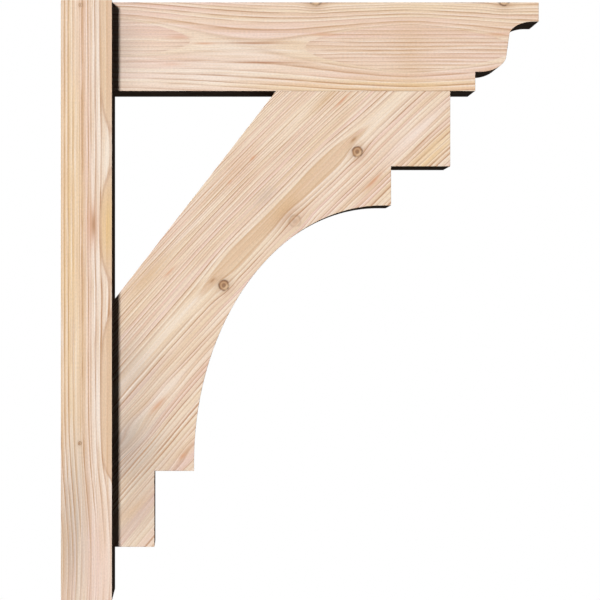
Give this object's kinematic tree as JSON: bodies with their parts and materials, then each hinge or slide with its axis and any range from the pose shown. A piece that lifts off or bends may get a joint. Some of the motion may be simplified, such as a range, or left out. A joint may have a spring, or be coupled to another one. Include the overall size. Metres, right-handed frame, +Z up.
{
  "type": "outlooker",
  "caption": "Solid timber outlooker: upright backplate, horizontal arm with an ogee end, and a knee brace with stepped ends and an elliptical arch.",
  "frame": {"origin": "centre of the backplate's back face, which lies against the wall", "axes": "+X straight out from the wall along the arm, +Y across the bracket's width, +Z up"},
  "size_m": [0.6096, 0.1396, 0.762],
  "materials": {
    "timber": "smooth planed, unfinished pale softwood"
  },
  "bodies": {
    "root": {"backplate": "timber", "arm": "timber", "brace": "timber"}
  },
  "joints": []
}
